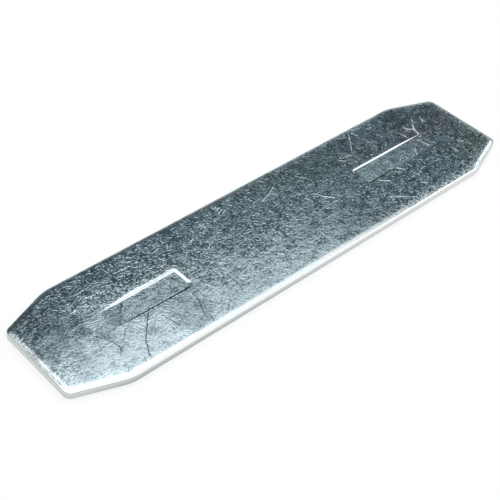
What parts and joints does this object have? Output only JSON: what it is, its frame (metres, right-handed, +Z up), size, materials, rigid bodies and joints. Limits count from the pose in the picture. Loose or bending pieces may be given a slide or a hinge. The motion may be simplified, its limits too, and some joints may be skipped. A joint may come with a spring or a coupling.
{
  "type": "rail connector plate",
  "caption": "Flat stamped steel plate with slanted corners and half-sheared barbs, which slides into the facing ends of framing rails and locks them in line.",
  "frame": {"origin": "midway along and across the plate, level with the tips of the barbs", "axes": "+X along the plate, +Y across it, +Z up out of the face that carries the recesses"},
  "size_m": [0.14, 0.033, 0.0026],
  "materials": {
    "zinc_steel": "barrel zinc plate with a blue passivate, tumbled and finely scratched"
  },
  "bodies": {
    "root": {"connector_plate": "zinc_steel"}
  },
  "joints": []
}
